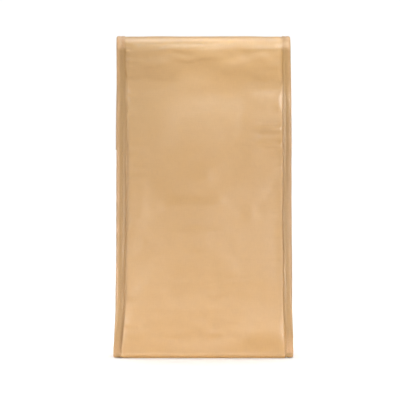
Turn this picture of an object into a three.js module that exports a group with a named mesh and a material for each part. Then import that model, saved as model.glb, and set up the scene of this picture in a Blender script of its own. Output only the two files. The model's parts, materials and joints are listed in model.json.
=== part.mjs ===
// Insulated lunch bag: a gusseted bag of woven paper lined with foil-faced foam, its top rolled over to the rear.
// Millimetres, +Z up, base on z = 0. -Y is the plain front, +Y the side where the flap hangs, X runs across the bag.
import * as THREE from 'three';

// ---------------------------------------------------------------- driving dimensions
const HEIGHT = 330;            // floor to the top of the rolled fold
const FLAP_DROP = 121;         // top of the fold down to the mouth edge that hangs behind
const SEAM_HALF = 81.5;        // half the width between the two side seams
const FLANGE = 8.2;            // paper outside a side seam
const DEPTH_HALF = 55;         // half the depth of the base
const BASE_FLARE = 0.05;       // share by which the base pulls the seams apart
const FLARE_TOP = 62;          // height where that spread has died away
const BASE_ROUND = 6;          // outside radius of the fold between base and front or back
const PAPER = 0.5;             // woven paper
const LINING = 1.8;            // foil-faced foam
const LAY = 0.3;               // air between layers that lie on each other
const BOND = 0.2;              // bond line between paper and lining
const STACK = 11.2;            // closed bag: front, folded gusset, back
const FLAP_GAP = 3.6;          // room for the two tapes between flap and back
const TOP_TILT = THREE.MathUtils.degToRad(8);   // the stiff closed top leans towards the front
const ROLL_Y = -2;             // centre of the rolled fold, front to back
const NECK = 40;               // closed length below the centre of the roll
const NECK_LEAN = THREE.MathUtils.degToRad(16); // lean of the front just below the closed top
const BACK_STRAIGHT = 117;     // straight length of the back behind the flap
const HEM = 11;                // paper turned in at the mouth
const GUSSET_HALF = 55;        // half the flat width of a gusset
const APEX = 62;               // height where the slanting folds of a gusset meet
const SLANT_START = 44;        // half-width of the gusset's leaning triangle at the base
const SEAM_DIP = 1.2;          // how far a seam is drawn in behind its panel, in the closed top
const BASE_DIP = 2;            // and lower down, so that the seams clear the floor
const DIP_START = 70;          // where a panel starts to dip towards its seam
const LINING_HALF = 74;        // half-width of the body lining in the closed top
const LINING_OPEN = 77.5;      // and lower down, where the bag is open
const BIND = 0.5;              // binding strip
const TAPE_LONG = 130, TAPE_WIDE = 20, TAPE_THICK = 1.4, TAPE_AT = 86;

const R_IN = FLAP_GAP / 2, R_OUT = R_IN + STACK;
const ROLL_Z = HEIGHT - R_OUT;
const FLAP = FLAP_DROP - R_OUT;
const WALL = PAPER + BOND + LINING;
const sT = Math.sin(TOP_TILT), cT = Math.cos(TOP_TILT);
const clamp01 = (t) => Math.min(1, Math.max(0, t));
const smooth = (t) => { const c = clamp01(t); return c * c * (3 - 2 * c); };
const mix = (a, b, t) => a + (b - a) * t;

// ---------------------------------------------------------------- profile, as y and z
// The closed top has its own axes: p along the stack, upwards, and q through it, to the rear.
const top = (p, q) => [ROLL_Y - p * sT + q * cT, ROLL_Z + p * cT + q * sT];
const UP = [-sT, cT], REAR = [cT, sT];

const neckFront = top(-NECK, -R_OUT);
const neckBack = top(-BACK_STRAIGHT, -R_IN);
const v3 = (y, z) => new THREE.Vector3(0, y, z);
const frontCurve = new THREE.CubicBezierCurve3(
  v3(-DEPTH_HALF, BASE_ROUND), v3(-DEPTH_HALF, 112),
  v3(neckFront[0] - 72 * Math.sin(NECK_LEAN), neckFront[1] - 72 * Math.cos(NECK_LEAN)), v3(...neckFront));
const backCurve = new THREE.CubicBezierCurve3(
  v3(DEPTH_HALF, BASE_ROUND), v3(DEPTH_HALF, 84),
  v3(neckBack[0] - UP[0] * 50, neckBack[1] - UP[1] * 50), v3(...neckBack));

function onCurve(curve, z) {
  let a = 0, b = 1;
  for (let i = 0; i < 40; i++) { const m = (a + b) / 2; if (curve.getPoint(m).z < z) a = m; else b = m; }
  const t = (a + b) / 2;
  return { p: curve.getPoint(t), d: curve.getTangent(t) };
}

// A station is a point on the outer face of the body strip with its inward normal and the shape of the panel there.
function station(y, z, ny, nz, shape) {
  const flare = smooth(1 - z / FLARE_TOP);
  return { y, z, ny, nz, flare, crown: 0, tilt: 0, dip: SEAM_DIP, hem: 0, ...shape };
}
const dipAt = (z) => mix(BASE_DIP, SEAM_DIP, smooth((z - 108) / 120));
const tiltAt = (z) => mix(0.06, 0.34, smooth((z - 6) / 128)) - 0.19 * smooth((z - 134) / 120);
const frontCrown = (z) => 4.5 * smooth((z - 20) / 110) * (1 - smooth((z - 150) / 106));
const backCrown = (z) => 4.5 * smooth((z - 20) / 90) * (1 - smooth((z - 108) / 78));
function frontAt(z) {
  const { p, d } = onCurve(frontCurve, z);
  return station(p.y, p.z, d.z, -d.y, { tilt: tiltAt(z), crown: frontCrown(z), dip: dipAt(z) });
}
function backAt(z) {
  const shape = { tilt: tiltAt(z), crown: backCrown(z), dip: dipAt(z) };
  if (z >= neckBack[1]) {
    const p = (z - ROLL_Z + R_IN * sT) / cT;
    return station(...top(p, -R_IN), -cT, -sT, shape);
  }
  const { p, d } = onCurve(backCurve, z);
  return station(p.y, p.z, -d.z, d.y, shape);
}
const closedTilt = 0.14, rollTilt = 0.1, flapTilt = 0.08, mouthTilt = 0.015;
const frontClosed = (p) => station(...top(p, -R_OUT), cT, sT, { tilt: closedTilt });
const backClosed = (p) => station(...top(p, -R_IN), -cT, -sT, { tilt: closedTilt });
const frontRoll = (a) => {
  const dir = [-Math.cos(a) * REAR[0] + Math.sin(a) * UP[0], -Math.cos(a) * REAR[1] + Math.sin(a) * UP[1]];
  return station(ROLL_Y + R_OUT * dir[0], ROLL_Z + R_OUT * dir[1], -dir[0], -dir[1], { tilt: rollTilt });
};
const backRoll = (a) => {
  const dir = [-Math.cos(a) * REAR[0] + Math.sin(a) * UP[0], -Math.cos(a) * REAR[1] + Math.sin(a) * UP[1]];
  return station(ROLL_Y + R_IN * dir[0], ROLL_Z + R_IN * dir[1], dir[0], dir[1], { tilt: rollTilt });
};
const flapShape = (p) => {
  const h = smooth((-p - (FLAP - HEM - 6)) / 5);
  return { tilt: mix(flapTilt, mouthTilt, h), hem: h };
};
const frontFlap = (p) => station(...top(p, R_OUT), -cT, -sT, flapShape(p));
const backFlap = (p) => station(...top(p, R_IN), cT, sT, flapShape(p));

// Rows shared by every layer, from just above the base up to the mouth.
const TENT_Z = [BASE_ROUND, 20, 40, APEX, 84, 108, 134, 160, 186, 210, 234, 256];
const CLOSED_P = [-NECK, -NECK / 2];
const ROLL_STEPS = 10;
const FLAP_P = [-28, -56, -84, -(FLAP - HEM - 6), -(FLAP - HEM - 1), -FLAP];
const rows = [];
for (const z of TENT_Z) rows.push({ f: frontAt(z), b: backAt(z), z });
for (const p of CLOSED_P) rows.push({ f: frontClosed(p), b: backClosed(p), z: ROLL_Z + p });
for (let i = 0; i <= ROLL_STEPS; i++) {
  const a = Math.PI * i / ROLL_STEPS;
  rows.push({ f: frontRoll(a), b: backRoll(a), z: HEIGHT });
}
for (const p of FLAP_P) rows.push({ f: frontFlap(p), b: backFlap(p), z: HEIGHT, p });

// Base stations, front to back, with the folds at both ends in two facets.
const R = BASE_ROUND;
const corner = (side, deg) => {
  const a = THREE.MathUtils.degToRad(deg), c = Math.cos(a), s = Math.sin(a);
  return station(side * (DEPTH_HALF - R + R * c), R - R * s, -side * c, s, { tilt: mix(0.06, 0.02, deg / 90), dip: BASE_DIP });
};
const baseAt = (y) => station(y, 0, 0, 1, { tilt: 0.02, dip: BASE_DIP });
const cornerF = [corner(-1, 45), corner(-1, 90)];
const cornerB = [corner(1, 90), corner(1, 45)];
const baseMid = [-25, 0, 25].map(baseAt);

const strip = [
  ...rows.map((r) => r.f).reverse(),
  ...cornerF, ...baseMid, ...cornerB,
  ...rows.map((r) => r.b),
];

// Place a point of the strip: x across, q inwards from the outer face.
function shift(st, x) {
  const a = Math.abs(x);
  const dip = st.dip * clamp01((a - DIP_START) / (SEAM_HALF - DIP_START));
  const tilt = st.tilt * Math.max(0, a - SEAM_HALF);
  const u = Math.min(1, a / SEAM_HALF);
  return dip + tilt - st.crown * (1 - u * u);
}
function across(st, x) {
  const a = Math.abs(x);
  return Math.sign(x) * (Math.min(a, SEAM_HALF) * (1 + BASE_FLARE * st.flare)
    + Math.max(0, a - SEAM_HALF) * (1 - 0.2 * st.flare));
}
function place(st, x, q) {
  const d = q + shift(st, x);
  return new THREE.Vector3(across(st, x), st.y + st.ny * d, st.z + st.nz * d);
}

// ---------------------------------------------------------------- sheets
// A flat cut of cloth is a thin box; at(row, column, face) folds it into place. Face 0 is the outer one.
function outward(geometry) {
  const p = geometry.attributes.position, ix = geometry.index;
  let vol = 0;
  const a = new THREE.Vector3(), b = new THREE.Vector3(), c = new THREE.Vector3();
  for (let i = 0; i < ix.count; i += 3) {
    a.fromBufferAttribute(p, ix.getX(i)); b.fromBufferAttribute(p, ix.getX(i + 1)); c.fromBufferAttribute(p, ix.getX(i + 2));
    vol += a.dot(b.cross(c));
  }
  if (vol < 0) {
    for (let i = 0; i < ix.count; i += 3) { const t = ix.getX(i); ix.setX(i, ix.getX(i + 1)); ix.setX(i + 1, t); }
  }
  geometry.computeVertexNormals();
  return geometry;
}
// rising(row, column) says which way the facets of a cell are split, the same on both faces and in every layer that lies on it.
function foldSheet(nRows, nCols, at, rising) {
  const g = new THREE.BoxGeometry(1, 1, 1, nCols - 1, 1, nRows - 1);
  const p = g.attributes.position, ix = g.index;
  const cell = [];
  for (let i = 0; i < p.count; i++) {
    cell.push({
      col: Math.round((p.getX(i) + 0.5) * (nCols - 1)),
      row: Math.round((p.getZ(i) + 0.5) * (nRows - 1)),
      face: p.getY(i) > 0 ? 0 : 1,
    });
  }
  for (let i = 0; i < ix.count; i += 6) {
    // corners in order around the cell
    const q = [ix.getX(i), ix.getX(i + 1), ix.getX(i + 4), ix.getX(i + 2)];
    const c = q.map((k) => cell[k]);
    const r0 = Math.min(...c.map((k) => k.row)), c0 = Math.min(...c.map((k) => k.col));
    const flat = c.every((k) => k.face === c[0].face) && c.some((k) => k.row > r0) && c.some((k) => k.col > c0);
    if (!flat) continue;
    const lowLeft = c.findIndex((k) => k.row === r0 && k.col === c0);
    const from = rising(r0, c0) ? lowLeft : (lowLeft + 1) % 4;
    const v = [0, 1, 2, 3].map((k) => q[(from + k) % 4]);
    [v[0], v[1], v[2], v[0], v[2], v[3]].forEach((k, n) => ix.setX(i + n, k));
  }
  for (let i = 0; i < p.count; i++) {
    const v = at(cell[i].row, cell[i].col, cell[i].face);
    p.setXYZ(i, v.x, v.y, v.z);
  }
  g.deleteAttribute('uv');
  return outward(g);
}
// A strip with a section other than flat: the section is extruded in the flat, then folded along the stations.
function foldSection(shape, stations, at) {
  const n = stations.length - 1;
  const g = new THREE.ExtrudeGeometry(shape, { depth: n, steps: n, bevelEnabled: false });
  const p = g.attributes.position;
  for (let i = 0; i < p.count; i++) {
    const v = at(stations[Math.round(p.getZ(i))], p.getX(i), p.getY(i));
    p.setXYZ(i, v.x, v.y, v.z);
  }
  g.deleteAttribute('uv');
  const index = [];
  for (let i = 0; i < p.count; i++) index.push(i);
  g.setIndex(index);
  return outward(g);
}

// ---------------------------------------------------------------- body wrap
// The turned hem at a mouth: paper folds over to the inside, with the air of a soft fold between its two layers.
const FOLD_MID = PAPER + LAY / 2;
const hemRows = [
  { back: true, q: [FOLD_MID * 2, PAPER + LAY], ext: [0, 0] },
  { back: false, q: [FOLD_MID * 2, PAPER + LAY], ext: [0, 0] },
  { back: false, q: [FOLD_MID, FOLD_MID], ext: [FOLD_MID, LAY / 2] },
];
const flapEnd = rows[rows.length - 1];
const hemEnd = { f: frontFlap(-(FLAP - HEM)), b: backFlap(-(FLAP - HEM)), z: HEIGHT };
const bodyCols = [-1, -SEAM_HALF, -DIP_START, -38, 0, 38, DIP_START, SEAM_HALF, 1]
  .map((x) => (Math.abs(x) === 1 ? x * (SEAM_HALF + FLANGE) : x));
const bodyRows = [];
const hemOf = (side) => hemRows.map((h) => ({
  st: (h.back ? hemEnd : flapEnd)[side], q: h.q, ext: h.ext,
}));
bodyRows.push(...hemOf('f'));
for (const st of strip) bodyRows.push({ st, q: [0, PAPER], ext: [0, 0] });
bodyRows.push(...hemOf('b').reverse());
const bodyWrap = foldSheet(bodyRows.length, bodyCols.length, (row, col, face) => {
  const r = bodyRows[row];
  const v = place(r.st, bodyCols[col], r.q[face]);
  v.y -= UP[0] * r.ext[face]; v.z -= UP[1] * r.ext[face];
  return v;
}, (row, col) => (row >= bodyRows.length / 2) === (col < (bodyCols.length - 1) / 2));

// ---------------------------------------------------------------- body lining
const liningRows = strip.slice(1, -1);
const liningCols = [-1, -DIP_START, -38, 0, 38, DIP_START, 1];
const bodyLining = foldSheet(liningRows.length, liningCols.length, (row, col, face) => {
  const st = liningRows[row];
  const half = mix(LINING_OPEN, LINING_HALF, smooth((st.z - 108) / 70));
  const x = liningCols[col];
  return place(st, Math.abs(x) === 1 ? x * half : x, face === 0 ? PAPER + BOND : WALL);
}, (row, col) => (row >= liningRows.length / 2) === (col < (liningCols.length - 1) / 2));

// ---------------------------------------------------------------- gussets
// Section of a gusset at one row: its outer face as points from the front flange edge to the back flange edge.
const G_OUT = PAPER + LAY + PAPER;           // outer face of gusset paper, from the outer face of the panel it is sewn to
const HEM_STEP = 2 * (PAPER + LAY);          // extra layers inside a seam where the hems are caught in it
function creaseDepth(A, B) {
  const half = A.distanceTo(B) / 2;
  return Math.sqrt(Math.max(0, GUSSET_HALF * GUSSET_HALF - half * half));
}
const apexRow = rows.find((r) => r.z === APEX);
const seam = (st, s) => place(st, s * SEAM_HALF, G_OUT + HEM_STEP * st.hem);
const edge = (st, s) => place(st, s * (SEAM_HALF + FLANGE), G_OUT + HEM_STEP * st.hem);
const apexDepth = creaseDepth(seam(apexRow.f, -1), seam(apexRow.b, -1));

function gussetSection(r, s) {
  const A = seam(r.f, s), B = seam(r.b, s);
  const E = B.clone().sub(A), S = E.length();
  E.normalize();
  const X = new THREE.Vector3(-s, 0, 0);
  const closed = 1 - smooth((S - 6) / 30);
  const low = r.z < APEX;
  const depth = low ? apexDepth * r.z / APEX : creaseDepth(A, B);
  const soft = mix(1.6, LAY, closed);
  const half = low ? Math.max(soft, SLANT_START * (1 - r.z / APEX)) : soft;
  const nose = low ? 0 : half;
  const at = (x, e) => A.clone().addScaledVector(X, x).addScaledVector(E, e);
  const ce = S / 2 - half;
  const len = Math.hypot(depth, ce);
  const near = 5 / len;
  const need = Math.min(2.8, ce);
  const lack = clamp01(1 - near * ce / 2.8);
  const x2 = mix(near * depth, 12, lack), e2 = Math.max(near * ce, need);
  const flat = [
    [0, 0], [x2, e2], [mix(x2, depth, 0.5), mix(e2, ce, 0.5)], [depth, ce],
    [depth + nose, S / 2],
  ];
  const mirror = flat.slice(0, 4).reverse().map(([x, e]) => [x, S - e]);
  return { pts: [...flat, ...mirror], at, A, B, E, X, S };
}
// Move a section's points inwards by t, square to the sheet.
function inset(pts, t, startDir, endDir) {
  const dirs = [];
  for (let i = 0; i + 1 < pts.length; i++) {
    const dx = pts[i + 1][0] - pts[i][0], de = pts[i + 1][1] - pts[i][1], l = Math.hypot(dx, de);
    dirs.push([dx / l, de / l]);
  }
  return pts.map(([x, e], i) => {
    const a = i > 0 ? dirs[i - 1] : (startDir || dirs[0]);
    const b = i < dirs.length ? dirs[i] : (endDir || dirs[dirs.length - 1]);
    const n1 = [a[1], -a[0]], n2 = [b[1], -b[0]];
    const k = t / Math.max(0.35, 1 + n1[0] * n2[0] + n1[1] * n2[1]);
    return [x + (n1[0] + n2[0]) * k, e + (n1[1] + n2[1]) * k];
  });
}
const FLANGE_IN = [1, 0], FLANGE_OUT = [-1, 0];

// Rows of a gusset: flange edge, seam on the base, the shared rows, then the turned hem.
const G_COLS = 11;
function gussetSheet(s) {
  const grid = [];
  const put = (row, face, list) => { (grid[row] ||= [])[face] = list; };
  const flangePoint = (st, x, t) => place(st, s * x, G_OUT + HEM_STEP * st.hem - t);
  // base flange edge and base seam
  const arcF = corner(-1, 45), arcB = corner(1, 45), flatF = corner(-1, 90), flatB = corner(1, 90);
  const upF = rows[0].f, upB = rows[0].b;
  const baseY = [-49, -46.5, -SLANT_START, 0, SLANT_START, 46.5, 49];
  for (const face of [0, 1]) {
    const t = face * PAPER, xs = SEAM_HALF - t, xe = SEAM_HALF + FLANGE;
    const half = (a, b) => a.clone().add(b).multiplyScalar(0.5);
    const eF = flangePoint(arcF, xe, t), eB = flangePoint(arcB, xe, t);
    put(0, face, [
      eF, half(eF, flangePoint(flatF, xe, t)),
      ...baseY.map((y) => flangePoint(baseAt(y), xe, t)),
      half(eB, flangePoint(flatB, xe, t)), eB]);
    put(1, face, [
      half(eF, flangePoint(upF, xe, t)), flangePoint(arcF, xs, t),
      ...baseY.map((y) => flangePoint(baseAt(y), xs, t)),
      flangePoint(arcB, xs, t), half(eB, flangePoint(upB, xe, t))]);
  }
  let row = 2;
  const add = (r, depthIn, ext) => {
    const sec = gussetSection(r, s);
    for (const face of [0, 1]) {
      const t = depthIn[face];
      const pts = inset(sec.pts, t, FLANGE_IN, FLANGE_OUT).map(([x, e]) => sec.at(x, e));
      const list = [flangePoint(r.f, SEAM_HALF + FLANGE, t), ...pts, flangePoint(r.b, SEAM_HALF + FLANGE, t)];
      for (const v of list) { v.y -= UP[0] * ext[face]; v.z -= UP[1] * ext[face]; }
      put(row, face, list);
    }
    row++;
  };
  for (const r of rows) add(r, [0, PAPER], [0, 0]);
  add(flapEnd, [FOLD_MID, FOLD_MID], [FOLD_MID, LAY / 2]);
  add(flapEnd, [FOLD_MID * 2, PAPER + LAY], [0, 0]);
  add(hemEnd, [FOLD_MID * 2, PAPER + LAY], [0, 0]);
  return foldSheet(grid.length, G_COLS, (r, c, f) => grid[r][f][c], (r, c) => c < 5);
}

// Foil-faced foam bonded to the inner face of a gusset, from just inside its ramp to its folds and back.
function gussetLining(s) {
  const used = rows.slice(0, -1);
  const grid = used.map((r) => {
    const sec = gussetSection(r, s);
    const pts = sec.pts.slice(1, -1);
    return [PAPER + BOND, WALL].map((t) => inset(pts, t).map(([x, e]) => sec.at(x, e)));
  });
  return foldSheet(grid.length, 7, (r, c, f) => grid[r][f][c], (r, c) => c < 3);
}

// ---------------------------------------------------------------- seam bindings
// A folded strip that wraps the raw edges of a side seam, from mouth to mouth around the base.
function binding(s) {
  const inX = SEAM_HALF + 0.5, gapX = SEAM_HALF + FLANGE + LAY, outX = gapX + 0.6;
  const o0 = -LAY - BIND, o1 = -LAY, i0 = G_OUT + LAY, i1 = G_OUT + LAY + BIND;
  const sh = new THREE.Shape();
  sh.moveTo(inX, o0); sh.lineTo(gapX - 0.2, o0); sh.lineTo(outX, o0 + 0.8); sh.lineTo(outX, i1 - 0.8);
  sh.lineTo(gapX - 0.2, i1); sh.lineTo(inX, i1); sh.lineTo(inX, i0); sh.lineTo(gapX, i0);
  sh.lineTo(gapX, o1); sh.lineTo(inX, o1); sh.closePath();
  return foldSection(sh, strip, (st, x, q) => place(st, s * x, q > 0.65 ? q + HEM_STEP * st.hem : q));
}

// ---------------------------------------------------------------- closure tapes
function tape() {
  const w = TAPE_LONG / 2, h = TAPE_WIDE / 2, r = 3;
  const sh = new THREE.Shape();
  sh.moveTo(-w + r, -h); sh.lineTo(w - r, -h); sh.absarc(w - r, -h + r, r, -Math.PI / 2, 0, false);
  sh.lineTo(w, h - r); sh.absarc(w - r, h - r, r, 0, Math.PI / 2, false);
  sh.lineTo(-w + r, h); sh.absarc(-w + r, h - r, r, Math.PI / 2, Math.PI, false);
  sh.lineTo(-w, -h + r); sh.absarc(-w + r, -h + r, r, Math.PI, Math.PI * 1.5, false);
  const g = new THREE.ExtrudeGeometry(sh, { depth: TAPE_THICK, steps: 1, bevelEnabled: false, curveSegments: 4 });
  g.rotateX(Math.PI / 2 + TOP_TILT);
  return g;
}
function tapeAt(q) {
  const g = tape();
  const [y, z] = top(-TAPE_AT, q);
  g.translate(0, y, z);
  return g;
}

// ---------------------------------------------------------------- materials and assembly
const mat = (color, roughness, metalness) => new THREE.MeshStandardMaterial({ color, roughness, metalness });
const paper = mat(0xc99a62, 0.85, 0);
const bindingPaper = mat(0xbd8d57, 0.85, 0);
const foil = mat(0xc9ccd0, 0.3, 0.9);
const hookMat = mat(0x8a6a48, 0.8, 0);
const loopMat = mat(0x947350, 0.95, 0);

const group = new THREE.Group();
function piece(name, geometry, material) {
  const m = new THREE.Mesh(geometry, material);
  m.name = name;
  group.add(m);
}
piece('body_wrap', bodyWrap, paper);
piece('left_gusset', gussetSheet(-1), paper);
piece('right_gusset', gussetSheet(1), paper);
piece('body_lining', bodyLining, foil);
piece('left_lining', gussetLining(-1), foil);
piece('right_lining', gussetLining(1), foil);
piece('left_seam_binding', binding(-1), bindingPaper);
piece('right_seam_binding', binding(1), bindingPaper);
piece('hook_tape', tapeAt(R_IN - 0.25), hookMat);
piece('loop_tape', tapeAt(-0.15), loopMat);

export default group;
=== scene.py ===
import json
import math

import bpy
import numpy as np
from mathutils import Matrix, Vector

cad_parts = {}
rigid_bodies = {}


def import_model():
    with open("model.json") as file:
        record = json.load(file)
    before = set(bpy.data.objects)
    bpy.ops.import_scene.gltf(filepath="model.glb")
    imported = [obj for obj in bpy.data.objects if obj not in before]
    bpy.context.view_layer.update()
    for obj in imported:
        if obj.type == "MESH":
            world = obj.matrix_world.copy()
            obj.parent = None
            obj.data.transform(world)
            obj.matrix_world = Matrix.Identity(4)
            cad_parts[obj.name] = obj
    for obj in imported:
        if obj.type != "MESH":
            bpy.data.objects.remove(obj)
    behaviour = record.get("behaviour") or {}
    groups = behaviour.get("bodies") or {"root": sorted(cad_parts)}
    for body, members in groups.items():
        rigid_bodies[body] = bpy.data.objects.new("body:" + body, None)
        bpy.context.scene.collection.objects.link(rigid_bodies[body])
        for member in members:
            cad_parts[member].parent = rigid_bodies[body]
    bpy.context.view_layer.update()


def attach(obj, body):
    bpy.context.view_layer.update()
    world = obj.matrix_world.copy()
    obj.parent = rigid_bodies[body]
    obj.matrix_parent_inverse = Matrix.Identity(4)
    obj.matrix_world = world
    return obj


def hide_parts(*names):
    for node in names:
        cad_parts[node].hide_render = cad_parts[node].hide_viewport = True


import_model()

# ------------------------------------------------------------------ dimensions, millimetres, as in the solid model
HEIGHT, FLAP_DROP = 330.0, 121.0
SEAM, FLANGE, DEPTH = 81.5, 8.2, 55.0
BASE_FLARE, FLARE_TOP, RC = 0.05, 62.0, 6.0
PAPER, LINING, LAY, BOND = 0.5, 1.8, 0.3, 0.2
STACK, FLAP_GAP = 11.2, 3.6
TILT = math.radians(8.0)
ROLL_Y, NECK, NECK_LEAN, BACK_STRAIGHT = -2.0, 40.0, math.radians(16.0), 117.0
HEM, GUSSET_HALF, APEX, SLANT_START = 11.0, 55.0, 62.0, 44.0
SEAM_DIP, BASE_DIP, TOP_RISE = 1.2, 1.25, 1.1
LINING_HALF, LINING_OPEN, BIND = 74.0, 77.5, 0.5
R_IN = FLAP_GAP / 2
R_OUT = R_IN + STACK
ROLL_Z = HEIGHT - R_OUT
FLAP = FLAP_DROP - R_OUT
WALL = PAPER + BOND + LINING
G_OUT = 2 * PAPER + LAY
HEM_STEP = 2 * (PAPER + LAY)
FOLD_MID = PAPER + LAY / 2
sT, cT = math.sin(TILT), math.cos(TILT)
UP, REAR = np.array([-sT, cT]), np.array([cT, sT])

FRONT, ROLL, FLAP_OUT, BASE, BACK, ROLL_IN, FLAP_IN = range(7)


def smooth(t):
    t = np.clip(t, 0.0, 1.0)
    return t * t * (3 - 2 * t)


def mix(a, b, t):
    return a + (b - a) * t


# ------------------------------------------------------------------ smooth noise on a seeded lattice
def lattice(seed, n=64):
    return np.random.default_rng(seed).uniform(-1, 1, (n, n))


def noise(table, u, v):
    n = table.shape[0]
    i, j = np.floor(u).astype(int), np.floor(v).astype(int)
    f, g = u - i, v - j
    f, g = f * f * f * (f * (f * 6 - 15) + 10), g * g * g * (g * (g * 6 - 15) + 10)
    a, b = table[i % n, j % n], table[(i + 1) % n, j % n]
    c, d = table[i % n, (j + 1) % n], table[(i + 1) % n, (j + 1) % n]
    return (a * (1 - f) + b * f) * (1 - g) + (c * (1 - f) + d * f) * g


N_BIG, N_MID, N_FINE, N_EDGE, N_GUS = (lattice(k) for k in (11, 23, 37, 53, 71))

# ------------------------------------------------------------------ the profile


def top(p, q):
    p, q = np.asarray(p, float), np.asarray(q, float)
    return ROLL_Y - p * sT + q * cT, ROLL_Z + p * cT + q * sT


def bezier(p0, p1, p2, p3, n=3001):
    t = np.linspace(0, 1, n)[:, None]
    p = [np.array(k, float) for k in (p0, p1, p2, p3)]
    return (1 - t) ** 3 * p[0] + 3 * (1 - t) ** 2 * t * p[1] + 3 * (1 - t) * t * t * p[2] + t ** 3 * p[3]


def soften(y, sigma):
    k = np.arange(-int(4 * sigma), int(4 * sigma) + 1)
    w = np.exp(-0.5 * (k / sigma) ** 2)
    w /= w.sum()
    pad = np.concatenate([np.full(len(k) // 2, y[0]), y, np.full(len(k) // 2, y[-1])])
    return np.convolve(pad, w, "valid")


NF = [float(c) for c in top(-NECK, -R_OUT)]
NB = [float(c) for c in top(-BACK_STRAIGHT, -R_IN)]
ZF_END = float(top(0, -R_OUT)[1])
ZB_END = float(top(0, -R_IN)[1])


def profile(curve, end_p, q, z_end):
    zz = np.arange(RC, z_end + 0.25, 0.25)
    line_y, line_z = top(np.array([-end_p, 0.0]), q)
    y = np.where(zz < line_z[0], np.interp(zz, curve[:, 1], curve[:, 0]),
                 line_y[0] + (zz - line_z[0]) / (line_z[1] - line_z[0]) * (line_y[1] - line_y[0]))
    soft = soften(y, 44)  # 11 mm: foam doesn't crease sharply at the neck
    w = smooth((zz - line_z[0] + 62) / 30) * (1 - smooth((zz - line_z[0] - 26) / 14))
    return zz, mix(y, soft, w)


FZ, FY = profile(bezier((-DEPTH, RC), (-DEPTH, 112), (NF[0] - 72 * math.sin(NECK_LEAN), NF[1] - 72 * math.cos(NECK_LEAN)), NF), NECK, -R_OUT, ZF_END)
BZ, BY = profile(bezier((DEPTH, RC), (DEPTH, 84), (NB[0] - UP[0] * 50, NB[1] - UP[1] * 50), NB), BACK_STRAIGHT, -R_IN, ZB_END)
FS, BS = np.gradient(FY, FZ), np.gradient(BY, BZ)


class Path:
    """Stations along the outer face of the body strip: place, inward normal and the panel's shape there."""

    keys = ("y", "z", "ny", "nz", "part", "c", "tilt", "crown", "dip", "hem", "skew")

    def __init__(self, **k):
        n = len(np.atleast_1d(k["y"]))
        for key in self.keys:
            setattr(self, key, np.broadcast_to(np.asarray(k.get(key, 0.0), float), (n,)).copy())
        self.n = n

    @staticmethod
    def join(*paths):
        out = Path(y=np.zeros(1))
        for key in Path.keys:
            setattr(out, key, np.concatenate([getattr(p, key) for p in paths]))
        out.n = len(out.y)
        return out

    def take(self, index):
        out = Path(y=np.zeros(1))
        for key in Path.keys:
            setattr(out, key, getattr(self, key)[index])
        out.n = len(out.y)
        return out

    def length(self):
        return np.concatenate([[0], np.cumsum(np.hypot(np.diff(self.y), np.diff(self.z)))])


def tilt_at(z):
    return mix(0.06, 0.34, smooth((z - 6) / 128)) - 0.19 * smooth((z - 134) / 120)


def dip_at(z):
    return mix(BASE_DIP, SEAM_DIP, smooth((z - 108) / 120))


def front(z):
    z = np.asarray(z, float)
    d = np.interp(z, FZ, FS)
    k = 1 / np.hypot(d, 1)
    crown = 4.5 * smooth((z - 20) / 110) * (1 - smooth((z - 150) / 106))
    return Path(y=np.interp(z, FZ, FY), z=z, ny=k, nz=-d * k, part=FRONT, c=z, tilt=tilt_at(z), crown=crown, dip=dip_at(z) - TOP_RISE * smooth((z - 235) / 30))


def back(z):
    z = np.asarray(z, float)
    d = np.interp(z, BZ, BS)
    k = 1 / np.hypot(d, 1)
    crown = 4.5 * smooth((z - 20) / 90) * (1 - smooth((z - 108) / 78))
    return Path(y=np.interp(z, BZ, BY), z=z, ny=-k, nz=d * k, part=BACK, c=z, tilt=tilt_at(z), crown=crown, dip=dip_at(z))


def roll(a, r, part, sign):
    a = np.asarray(a, float)
    dy = -np.cos(a) * REAR[0] + np.sin(a) * UP[0]
    dz = -np.cos(a) * REAR[1] + np.sin(a) * UP[1]
    return Path(y=ROLL_Y + r * dy, z=ROLL_Z + r * dz, ny=-sign * dy, nz=-sign * dz, part=part, c=a, dip=SEAM_DIP - (TOP_RISE * (1 - smooth((a - 0.8) / 1.8)) if part == ROLL else 0.0),
                tilt=mix(0.14, 0.08, smooth(a / math.pi)))


def flap(p, q, part, sign):
    p = np.asarray(p, float)
    y, z = top(p, q)
    h = smooth((-p - (FLAP - HEM - 6)) / 5)
    return Path(y=y, z=z, ny=-sign * cT, nz=-sign * sT, part=part, c=p, dip=SEAM_DIP, tilt=mix(0.08, 0.015, h), hem=h,
                skew=-1.7 * smooth(-p / FLAP))


def corner(side, a):
    a = np.asarray(a, float)
    c, s = np.cos(a), np.sin(a)
    return Path(y=side * (DEPTH - RC + RC * c), z=RC - RC * s, ny=-side * c, nz=s, part=BASE, c=a, dip=BASE_DIP,
                tilt=mix(0.06, 0.02, a / (math.pi / 2)))


def base(y):
    return Path(y=np.asarray(y, float), z=0, ny=0, nz=1, part=BASE, c=0, dip=BASE_DIP, tilt=0.02)


def span(a, b, step):
    n = max(2, int(round(abs(b - a) / step)) + 1)
    return np.linspace(a, b, n)


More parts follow.
